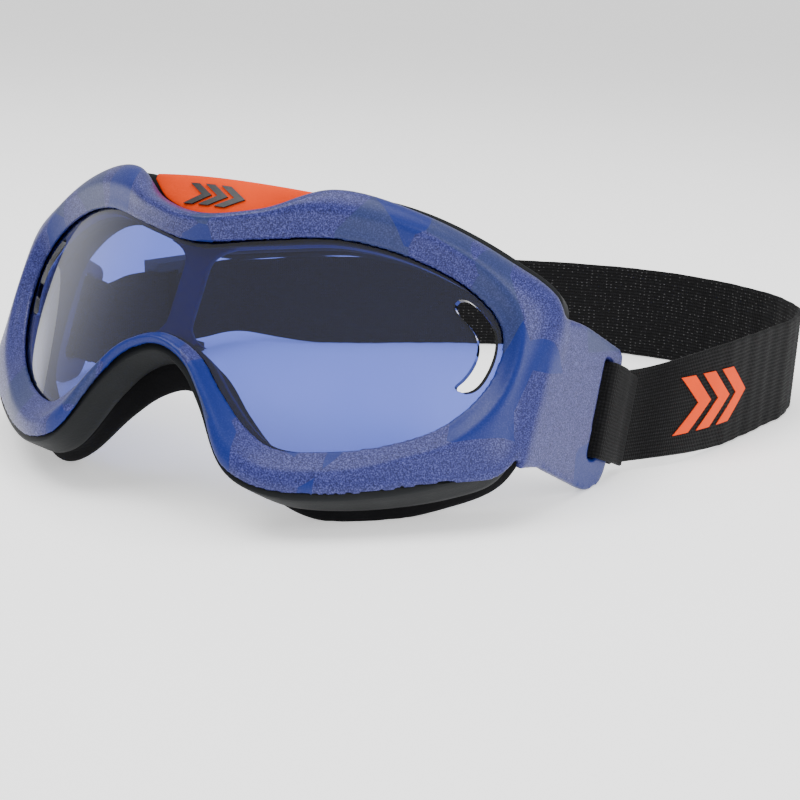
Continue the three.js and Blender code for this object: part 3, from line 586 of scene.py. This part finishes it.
def build_insert():
    steps_up = 8
    low_edge = between(shell_edge, bezel + 0.25, shell_edge_depth)
    loops = []
    for r in range(-INSERT_SPAN, INSERT_SPAN + 1):
        low = low_edge[r % PLACES]
        share = (low[0] / shell_edge[INSERT_SPAN][0]) ** 2
        high = max(INSERT_TOP + INSERT_RISE * share, low[2] + 0.8)
        front, rear = [], []
        for s in np.linspace(0, 1, steps_up + 1):
            z = mix(low[2], high, s)
            y = float(insert_front(low[0], z))
            crown = 0.25 * (1 - (2 * s - 1) ** 4) - 0.25
            front.append((low[0], y - crown, z))
            rear.append((low[0], y + INSERT_THICKNESS, z))
        loops.append(front + rear[::-1])
    loop = np.array(loops)
    count, around = loop.shape[:2]
    faces = grid_faces(count, around, False, True)
    faces += [tuple(range(around)), tuple(range(count * around - 1, (count - 1) * around - 1, -1))]
    insert = face_out(make("insert_panel", on_table(loop), faces))
    bevelled(insert, 0.3, 3, 50)
    return smooth_shaded(insert, 40)


# ---------------------------------------------------------------- marks
def bars(name, length, height, count, point, rise, place):
    """Slanted arrowhead bars in a row, a plain mark: place(s, v, n) lays them on a surface."""
    pitch = (length - point) / count
    width = pitch * 0.62
    points, faces = [], []
    steps_up, steps_along = 12, 6
    for b in range(count):
        base = len(points)
        for r in range(steps_up + 1):
            v = (r / steps_up - 0.5) * height
            start = -length / 2 + b * pitch + point * (1 - abs(2 * v / height))
            for at in np.linspace(start, start + width, steps_along + 1):
                points.append(place(at, v, 0.06))
            for at in np.linspace(start + width, start, steps_along + 1):
                points.append(place(at, v, rise))
        around = 2 * (steps_along + 1)
        local = grid_faces(steps_up + 1, around, False, True)
        local += [
            tuple(range(around)),
            tuple(range((steps_up + 1) * around - 1, steps_up * around - 1, -1)),
        ]
        faces += [tuple(base + k for k in f) for f in local]
    return face_out(make(name, points, faces))


EMBLEM_MIDDLE = 32.9
EMBLEM_LENGTH, EMBLEM_HEIGHT, EMBLEM_POINT, EMBLEM_RISE = 20.0, 6.0, 5.0, 0.5
PATCH_FROM_END = 41
PATCH_LENGTH, PATCH_HEIGHT, PATCH_POINT, PATCH_RISE = 38.0, 17.0, 9.0, 0.32
MARK_BARS = 3


def build_emblem():
    def place(s, v, n):
        z = EMBLEM_MIDDLE + v
        return on_table([(s, float(insert_front(s, z)) - n, z)])[0]

    return bars(
        "brow_mark", EMBLEM_LENGTH, EMBLEM_HEIGHT, MARK_BARS, EMBLEM_POINT, EMBLEM_RISE, place)


# ---------------------------------------------------------------- strap
LOOP_REAR_U = 13.6


def slot_on_table(side, u, z, n):
    return on_table([slot_point(side, u, z, n)])[0]


near_end = slot_on_table(1, LOOP_REAR_U, 0, -EAR_THICKNESS / 2)
far_end = slot_on_table(-1, LOOP_REAR_U, 0, -EAR_THICKNESS / 2)
slot_up = slot_on_table(1, 0, 1, 0) - slot_on_table(1, 0, 0, 0)
SLIDE_TURN = math.radians(16)
STRAIGHT_RUN = 60.0
SLIDER_MIDDLE = STRAP_WIDTH_AT_SLOT / 2 + 0.5 + 3.0 + GAP
FLOOR_MIDDLE = STRAP_WIDTH / 2


def straight_point(at):
    way = np.array([math.sin(SLIDE_TURN), math.cos(SLIDE_TURN), 0])
    return np.array([far_end[0], far_end[1], SLIDER_MIDDLE]) + at * way


STRAP_ROUTE = [
    near_end,
    (near_end[0] + 4, near_end[1] + 8.5, FLOOR_MIDDLE - 1),
    (103, 102, FLOOR_MIDDLE),
    (112, 123, FLOOR_MIDDLE),
    (118, 147, FLOOR_MIDDLE),
    (122, 167, FLOOR_MIDDLE),
    (120.5, 183, FLOOR_MIDDLE),
    (111, 197, FLOOR_MIDDLE),
    (92, 208, FLOOR_MIDDLE),
    (64, 213, FLOOR_MIDDLE),
    (30, 206, FLOOR_MIDDLE),
    (-6, 188, FLOOR_MIDDLE),
    (-38, 165, FLOOR_MIDDLE),
    (-62, 150, FLOOR_MIDDLE + 0.5),
    straight_point(STRAIGHT_RUN),
    straight_point(STRAIGHT_RUN * 0.75),
    straight_point(STRAIGHT_RUN * 0.5),
    straight_point(STRAIGHT_RUN * 0.25),
    far_end,
]
route = spline(STRAP_ROUTE, False, 40)
route_distance = np.concatenate([[0], np.cumsum(np.linalg.norm(np.diff(route, axis=0), axis=1))])
STRAP_LENGTH = route_distance[-1]


def smoothstep(x, low, high):
    t = np.clip((x - low) / (high - low), 0, 1)
    return t * t * (3 - 2 * t)


def strap_frame(distance):
    """Middle, up, outward and width of the strap at a distance along it."""
    distance = min(max(distance, 0.0), STRAP_LENGTH)
    middle = np.array([np.interp(distance, route_distance, route[:, a]) for a in range(3)])
    ahead, behind = min(distance + 0.6, STRAP_LENGTH), max(distance - 0.6, 0)
    along = np.array([
        np.interp(ahead, route_distance, route[:, a])
        - np.interp(behind, route_distance, route[:, a]) for a in range(3)
    ])
    along /= np.linalg.norm(along)
    near = smoothstep(distance, 0, 55)
    far = smoothstep(STRAP_LENGTH - distance, 0, 18)
    up = mix(slot_up, np.array([0, 0, 1.0]), min(near, far))
    up /= np.linalg.norm(up)
    outward = np.cross(along, up)
    outward /= np.linalg.norm(outward)
    free = min(near, smoothstep(STRAP_LENGTH - distance, 62, 92))
    width = mix(STRAP_WIDTH_AT_SLOT, STRAP_WIDTH, free)
    middle[2] += max(0.0, width / 2 * up[2] - middle[2])
    return middle, up, outward, width


def strap_point(distance, share, out):
    middle, up, outward, width = strap_frame(distance)
    return middle + up * share * width / 2 + outward * out


def rib_section(points_per_rib=4):
    """(share of half width, outward share) round a webbing strip: ribbed faces, round edges."""
    count = RIBS * points_per_rib
    faces = []
    for sign in (1, -1):
        for k in range(count + 1):
            s = -1 + 2 * k / count
            rib = 0.5 + 0.5 * math.cos(2 * math.pi * (k / points_per_rib - 0.5))
            edge = min(1.0, (1 - abs(s)) * 14)
            height = (0.8 + 0.2 * rib) * math.sqrt(1 - (1 - edge) ** 2 * 0.84)
            faces.append((sign * s, sign * height))
    return faces


def ribbon(name, frames, thickness, shows_rubber=False):
    """A webbing strip along frames of (middle, up, outward, width), with (along, across) as UV."""
    section = rib_section()
    around = len(section)
    points = []
    for middle, up, outward, width in frames:
        for share, out in section:
            points.append(middle + up * share * width / 2 + outward * out * thickness / 2)
    rows = len(frames)
    faces = grid_faces(rows, around, False, True)
    faces += [tuple(range(around)), tuple(range(rows * around - 1, (rows - 1) * around - 1, -1))]
    strip = face_out(make(name, points, faces))
    steps = [0] + [float(np.linalg.norm(b[0] - a[0])) for a, b in zip(frames, frames[1:])]
    along = np.cumsum(steps)
    uv = strip.data.uv_layers.new(name="webbing")
    index = np.array([loop.vertex_index for loop in strip.data.loops])
    across = np.array([share for share, _ in section])
    inside = np.array([1.0 if out < 0 and shows_rubber else 0.0 for _, out in section])
    values = np.column_stack([along[index // around], across[index % around] * RIBS / 2])
    uv.data.foreach_set("uv", values.astype(np.float32).ravel())
    side = strip.data.attributes.new("inside", "FLOAT", "POINT")
    side.data.foreach_set("value", np.tile(inside, rows).astype(np.float32))
    return smooth_shaded(strip, 70)


def build_strap():
    count = int(STRAP_LENGTH / 1.1)
    frames = []
    for distance in np.linspace(0, STRAP_LENGTH, count + 1):
        middle, up, outward, width = strap_frame(distance)
        # Slack elastic: the lightest of ripples, none near the ends.
        free = smoothstep(distance, 20, 60) * smoothstep(STRAP_LENGTH - distance, 62, 100)
        ripple = 0.35 * math.sin(distance * 0.31) + 0.25 * math.sin(distance * 0.83 + 1)
        frames.append((middle + outward * ripple * free * 0.5, up, outward, width))
    return ribbon("strap_webbing", frames, STRAP_THICKNESS, shows_rubber=True)


def build_loop(side):
    """The strap's end, through the slot and round the ear's bar, and back to the seam."""
    outer, inner = GAP + STRAP_THICKNESS / 2, -EAR_THICKNESS - GAP - STRAP_THICKNESS / 2
    middle_n = -EAR_THICKNESS / 2
    front_u = SLOT_HALF[0] - 2 * GAP - STRAP_THICKNESS / 2
    path = spline([
        (LOOP_REAR_U + 5, middle_n + 1.6),
        (LOOP_REAR_U + 2, middle_n + 1.6),
        (LOOP_REAR_U - 0.5, middle_n + 1.9),
        (LOOP_REAR_U - 2.4, outer - 0.25),
        (LOOP_REAR_U - 5, outer + 0.1),
        (front_u + 2.2, outer + 0.1),
        (front_u + 0.5, outer - 0.4),
        (front_u, outer - 1.6),
        (front_u, inner + 1.6),
        (front_u + 0.5, inner + 0.4),
        (front_u + 2.2, inner),
        (LOOP_REAR_U - 5, inner),
        (LOOP_REAR_U - 2.4, inner + 0.25),
        (LOOP_REAR_U - 0.5, middle_n - 1.9),
        (LOOP_REAR_U + 2, middle_n - 1.6),
        (LOOP_REAR_U + 5, middle_n - 1.6),
    ], False, 5)
    frames = []
    origin = slot_on_table(side, 0, 0, 0)
    u_way = slot_on_table(side, 1, 0, 0) - origin
    n_way = slot_on_table(side, 0, 0, 1) - origin
    z_way = slot_on_table(side, 0, 1, 0) - origin
    for k, (u, n) in enumerate(path):
        before, after = path[max(k - 1, 0)], path[min(k + 1, len(path) - 1)]
        du, dn = after - before
        along = (u_way * du + n_way * dn) / math.hypot(du, dn)
        outward = np.cross(along, z_way) * side
        if side < 0:
            outward = -outward
        outward /= np.linalg.norm(outward)
        pinch = smoothstep(u, LOOP_REAR_U - 5, LOOP_REAR_U)
        width = STRAP_WIDTH_AT_SLOT - 0.7 * pinch
        frames.append((origin + u_way * u + n_way * n, z_way, outward, width))
    return ribbon(f"webbing_loop_{'left' if side > 0 else 'right'}", frames, STRAP_THICKNESS * 0.92)


def build_patch():
    def place(s, v, n):
        distance = PATCH_FROM_END + s
        width = strap_frame(distance)[3]
        return strap_point(distance, 2 * v / width, STRAP_THICKNESS / 2 + n - 0.05)

    return bars("strap_mark", PATCH_LENGTH, PATCH_HEIGHT, MARK_BARS, PATCH_POINT, PATCH_RISE, place)


# ---------------------------------------------------------------- materials
def shader(name, **inputs):
    material = bpy.data.materials.new(name)
    material.use_nodes = True
    tree = material.node_tree
    bsdf = tree.nodes["Principled BSDF"]
    for key, value in inputs.items():
        bsdf.inputs[key.replace("_", " ")].default_value = value
    return material, tree, bsdf


def node(tree, kind, **settings):
    made = tree.nodes.new(kind)
    for key, value in settings.items():
        if hasattr(made, key):
            setattr(made, key, value)
        else:
            made.inputs[key.replace("_", " ")].default_value = value
    return made


def rgb(*values):
    return (*values, 1.0)


def object_coordinates(tree):
    return node(tree, "ShaderNodeTexCoord").outputs["Object"]


def noise(tree, scale, detail=2.0, roughness=0.5, coordinates_from=None):
    made = node(tree, "ShaderNodeTexNoise", Scale=scale, Detail=detail, Roughness=roughness)
    tree.links.new(coordinates_from or object_coordinates(tree), made.inputs["Vector"])
    return made.outputs["Fac"]


def ramp(tree, value, stops, interpolation="LINEAR"):
    made = node(tree, "ShaderNodeValToRGB")
    made.color_ramp.interpolation = interpolation
    while len(made.color_ramp.elements) < len(stops):
        made.color_ramp.elements.new(0.5)
    for element, (position, color) in zip(made.color_ramp.elements, stops):
        element.position = position
        element.color = color if len(color) == 4 else rgb(*color)
    tree.links.new(value, made.inputs["Fac"])
    return made.outputs["Color"]


def blend_colors(tree, share, a, b, mode="MIX"):
    made = node(tree, "ShaderNodeMix", data_type="RGBA", blend_type=mode)
    for socket, value in ((made.inputs[0], share), (made.inputs[6], a), (made.inputs[7], b)):
        if isinstance(value, bpy.types.NodeSocket):
            tree.links.new(value, socket)
        else:
            socket.default_value = value
    return made.outputs[2]


def bump(tree, bsdf, height, strength, distance):
    made = node(tree, "ShaderNodeBump", Strength=strength, Distance=distance)
    tree.links.new(height, made.inputs["Height"])
    tree.links.new(made.outputs["Normal"], bsdf.inputs["Normal"])


def map_range(tree, value, low, high, to_low, to_high):
    made = node(tree, "ShaderNodeMapRange")
    for key, number in (("From Min", low), ("From Max", high), ("To Min", to_low), ("To Max", to_high)):
        made.inputs[key].default_value = number
    tree.links.new(value, made.inputs["Value"])
    return made.outputs["Result"]


def plain(name, color, dark, roughness, grain_scale, grain, specular=0.5):
    """Moulded plastic or rubber: slight mottling, uneven gloss and a fine grain."""
    material, tree, bsdf = shader(name, Specular_IOR_Level=specular)
    mottle = noise(tree, 60, 3, 0.6)
    tree.links.new(ramp(tree, mottle, [(0.3, dark), (0.7, color)]), bsdf.inputs["Base Color"])
    gloss = map_range(tree, mottle, 0.3, 0.7, roughness - 0.05, roughness + 0.06)
    tree.links.new(gloss, bsdf.inputs["Roughness"])
    bump(tree, bsdf, noise(tree, grain_scale, 2, 0.5), grain, 0.0002)
    return material


def shell_paint():
    material, tree, bsdf = shader(
        "shell_paint", Specular_IOR_Level=0.22, Coat_Weight=0.08, Coat_Roughness=0.25)
    cells = node(tree, "ShaderNodeTexVoronoi", feature="F1", Scale=58, Randomness=1.0)
    stretch = node(tree, "ShaderNodeMapping")
    stretch.inputs["Rotation"].default_value = (0.4, 0.5, 0.9)
    stretch.inputs["Scale"].default_value = (1.5, 0.8, 0.9)
    tree.links.new(object_coordinates(tree), stretch.inputs["Vector"])
    tree.links.new(stretch.outputs["Vector"], cells.inputs["Vector"])
    shard = node(tree, "ShaderNodeSeparateColor")
    tree.links.new(cells.outputs["Color"], shard.inputs["Color"])
    royal, violet, slate = (0.002, 0.012, 0.13), (0.018, 0.021, 0.12), (0.016, 0.026, 0.095)
    base = ramp(tree, shard.outputs["Red"], [
        (0.0, violet), (0.4, royal), (0.58, slate), (0.76, violet),
    ], "CONSTANT")
    grainy = ramp(tree, shard.outputs["Red"], [
        (0.0, (1, 1, 1)), (0.4, (0.15, 0.15, 0.15)), (0.58, (0.3, 0.3, 0.3)), (0.76, (0.9, 0.9, 0.9)),
    ], "CONSTANT")
    fleck = noise(tree, 2600, 2, 0.6)
    light = ramp(tree, fleck, [(0.5, (0, 0, 0)), (0.66, (1, 1, 1))])
    dark = ramp(tree, fleck, [(0.36, (1, 1, 1)), (0.5, (0, 0, 0))])
    lit = blend_colors(tree, light, base, rgb(0.065, 0.072, 0.25))
    shaded = blend_colors(tree, dark, lit, rgb(0.006, 0.008, 0.06))
    tree.links.new(blend_colors(tree, grainy, base, shaded), bsdf.inputs["Base Color"])
    gloss = map_range(tree, fleck, 0.3, 0.7, 0.46, 0.3)
    tree.links.new(gloss, bsdf.inputs["Roughness"])
    bump(tree, bsdf, fleck, 0.12, 0.0003)
    return material


def lens_material():
    material, tree, bsdf = shader(
        "lens_tint",
        Transmission_Weight=1.0,
        IOR=1.45,
        Specular_IOR_Level=0.6,
        Coat_Weight=0.3,
        Coat_Roughness=0.02,
    )
    haze = noise(tree, 18, 2, 0.5)
    tint = ramp(tree, haze, [(0.35, (0.08, 0.115, 0.5)), (0.65, (0.11, 0.15, 0.56))])
    tree.links.new(tint, bsdf.inputs["Base Color"])
    tree.links.new(map_range(tree, haze, 0.3, 0.7, 0.0, 0.02), bsdf.inputs["Roughness"])
    return material


def webbing_material():
    material, tree, bsdf = shader(
        "webbing", Sheen_Weight=0.03, Sheen_Roughness=0.5, Specular_IOR_Level=0.12)
    uv = node(tree, "ShaderNodeUVMap", uv_map="webbing").outputs["UV"]
    parts = node(tree, "ShaderNodeSeparateXYZ")
    tree.links.new(uv, parts.inputs["Vector"])
    grain = noise(tree, 900, 3, 0.6)
    weave = ramp(tree, grain, [(0.35, (0.003, 0.003, 0.0032)), (0.7, (0.011, 0.011, 0.012))])
    turn = node(tree, "ShaderNodeMath", operation="MULTIPLY")
    tree.links.new(parts.outputs["Y"], turn.inputs[0])
    turn.inputs[1].default_value = 2 * math.pi
    rib = node(tree, "ShaderNodeMath", operation="SINE")
    tree.links.new(turn.outputs[0], rib.inputs[0])
    # Painted shade: the grooves between the ribs are darkened towards near black, as if shade fell in
    # them.
    painted_valley_shade = map_range(tree, rib.outputs[0], -1, 0.6, 0.85, 0)
    color = blend_colors(tree, painted_valley_shade, weave, rgb(0.0008, 0.0008, 0.001))

    def wave(scale_vector, offset=0.0):
        moved = node(tree, "ShaderNodeMapping")
        moved.inputs["Scale"].default_value = scale_vector
        moved.inputs["Location"].default_value = (offset, 0, 0)
        tree.links.new(uv, moved.inputs["Vector"])
        made = node(tree, "ShaderNodeTexWave", wave_type="BANDS", bands_direction="X", Scale=1.0)
        made.inputs["Distortion"].default_value = 0.0
        tree.links.new(moved.outputs["Vector"], made.inputs["Vector"])
        return made.outputs["Fac"]

    picks = wave((0.42, 1, 1))
    knit = node(tree, "ShaderNodeMath", operation="MULTIPLY")
    tree.links.new(picks, knit.inputs[0])
    tree.links.new(grain, knit.inputs[1])
    # Rubber threads show as rows of pale specks in the ribs' valleys on the inner face.
    rows = node(tree, "ShaderNodeTexVoronoi", feature="F1", Scale=1.0, Randomness=0.25)
    spread = node(tree, "ShaderNodeMapping")
    spread.inputs["Scale"].default_value = (0.55, 1.0, 1.0)
    tree.links.new(uv, spread.inputs["Vector"])
    tree.links.new(spread.outputs["Vector"], rows.inputs["Vector"])
    specks = ramp(tree, rows.outputs["Distance"], [(0.1, (1, 1, 1)), (0.2, (0, 0, 0))])
    inside = node(tree, "ShaderNodeAttribute", attribute_name="inside").outputs["Fac"]
    share = node(tree, "ShaderNodeMath", operation="MULTIPLY")
    tree.links.new(specks, share.inputs[0])
    tree.links.new(inside, share.inputs[1])
    final = blend_colors(tree, share.outputs[0], color, rgb(0.07, 0.07, 0.07))
    tree.links.new(final, bsdf.inputs["Base Color"])
    tree.links.new(map_range(tree, grain, 0.3, 0.7, 0.7, 0.92), bsdf.inputs["Roughness"])
    bump(tree, bsdf, knit.outputs[0], 0.6, 0.0004)
    return material


def steel():
    material, tree, bsdf = shader("screw_steel", Metallic=1.0)
    brushed = noise(tree, 700, 2, 0.6)
    tree.links.new(
        ramp(tree, brushed, [(0.3, (0.42, 0.42, 0.43)), (0.7, (0.62, 0.62, 0.63))]),
        bsdf.inputs["Base Color"],
    )
    tree.links.new(map_range(tree, brushed, 0.3, 0.7, 0.22, 0.4), bsdf.inputs["Roughness"])
    return material


def dress(obj, material):
    obj.data.materials.clear()
    obj.data.materials.append(material)
    return obj


# ---------------------------------------------------------------- camera, light and floor
def build_camera():
    right = Vector((0.8923, 0.4496, 0.0422))
    up = Vector((-0.1678, 0.2432, 0.9554))
    back = right.cross(up)
    data = bpy.data.cameras.new("camera")
    data.sensor_width = 36
    data.lens = 64.1
    data.clip_start = 0.01
    camera = bpy.data.objects.new("camera", data)
    place = (np.array([205.4, -288.6, 135.8]) + ORIGIN) * MM
    camera.matrix_world = Matrix.Translation(place) @ Matrix((right, up, back)).transposed().to_4x4()
    bpy.context.scene.collection.objects.link(camera)
    bpy.context.scene.camera = camera


def area_light(name, place, target, size, power, color=(1, 1, 1)):
    data = bpy.data.lights.new(name, "AREA")
    data.shape = "RECTANGLE"
    data.size, data.size_y = size
    data.energy = power
    data.color = color
    lamp = bpy.data.objects.new(name, data)
    lamp.location = place
    lamp.rotation_mode = "QUATERNION"
    lamp.rotation_quaternion = (Vector(target) - Vector(place)).to_track_quat("-Z", "Y")
    bpy.context.scene.collection.objects.link(lamp)


def build_studio():
    far = 60000
    corners = [(-far, -far, 0), (far, -far, 0), (far, far, 0), (-far, far, 0)]
    floor = make("floor", corners, [(0, 1, 2, 3)])
    floor.location.z = -0.0002
    material, tree, bsdf = shader(
        "floor_white", Roughness=0.8, Specular_IOR_Level=0.1, Emission_Strength=0.55)
    tone = ramp(tree, noise(tree, 3, 2, 0.5), [(0.3, (0.94, 0.94, 0.94)), (0.7, (0.96, 0.96, 0.96))])
    tree.links.new(tone, bsdf.inputs["Base Color"])
    dress(floor, material)
    world = bpy.data.worlds.new("studio")
    world.use_nodes = True
    world.node_tree.nodes["Background"].inputs["Color"].default_value = rgb(1, 1, 1)
    world.node_tree.nodes["Background"].inputs["Strength"].default_value = 0.8
    bpy.context.scene.world = world
    area_light("key", (-0.35, -0.45, 1.1), (0, 0, 0.03), (0.7, 0.5), 9)
    area_light("side", (0.8, -0.25, 0.45), (0, 0, 0.03), (0.4, 0.6), 5)
    area_light("top", (0.0, 0.1, 1.0), (0, 0, 0), (0.8, 0.8), 7)


# ---------------------------------------------------------------- the scene
build_camera()
build_studio()

shell = dress(build_shell(), shell_paint())
lens = dress(build_lens(), lens_material())
seal = dress(build_seal(), plain(
    "seal_rubber", (0.02, 0.02, 0.026), (0.008, 0.008, 0.012), 0.6, 900, 0.2))
inner = dress(build_inner_frame(), plain(
    "inner_blue", (0.03, 0.045, 0.3), (0.022, 0.034, 0.22), 0.4, 1200, 0.1, 0.2))
flange = dress(build_flange(), plain(
    "flange_grey", (0.01, 0.011, 0.012), (0.006, 0.007, 0.008), 0.55, 1500, 0.3, 0.12))
cushion = dress(build_cushion(), plain(
    "cushion_foam", (0.005, 0.005, 0.006), (0.002, 0.002, 0.0025), 0.75, 800, 0.7, 0.05))
insert = dress(build_insert(), plain(
    "insert_orange", (0.8, 0.06, 0.006), (0.72, 0.05, 0.005), 0.6, 1300, 0.35, 0.05))
emblem = dress(build_emblem(), plain(
    "emblem_black", (0.012, 0.012, 0.014), (0.006, 0.006, 0.007), 0.45, 900, 0.2))
for piece, stands_for in (
    (shell, "frame_shell"),
    (lens, "lens"),
    (seal, "lens_seal"),
    (inner, "inner_frame"),
    (flange, "gasket_flange"),
    (cushion, "face_cushion"),
    (insert, "brow_insert"),
    (emblem, "brow_emblem"),
):
    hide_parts(stands_for)
    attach(piece, "root")

screw_finish = steel()
for name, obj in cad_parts.items():
    if name.startswith("flange_screw"):
        dress(obj, screw_finish)

webbing = webbing_material()
strap = dress(build_strap(), webbing)
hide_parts("strap_band")
for side, label in ((1, "left"), (-1, "right")):
    loop = dress(build_loop(side), webbing)
    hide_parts(f"strap_loop_{label}")
    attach(loop, "root")
patch = dress(build_patch(), plain(
    "patch_orange", (0.8, 0.07, 0.01), (0.7, 0.055, 0.008), 0.55, 1500, 0.5, 0.05))
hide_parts("strap_patch")
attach(patch, "strap")
slider_plastic = plain(
    "slider_plastic", (0.02, 0.021, 0.023), (0.01, 0.011, 0.012), 0.42, 1400, 0.3)
dress(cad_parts["strap_slider"], slider_plastic)
dress(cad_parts["slider_keeper"], plain(
    "keeper_webbing", (0.008, 0.008, 0.009), (0.002, 0.002, 0.0022), 0.8, 900, 0.6, 0.05))

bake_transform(strap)
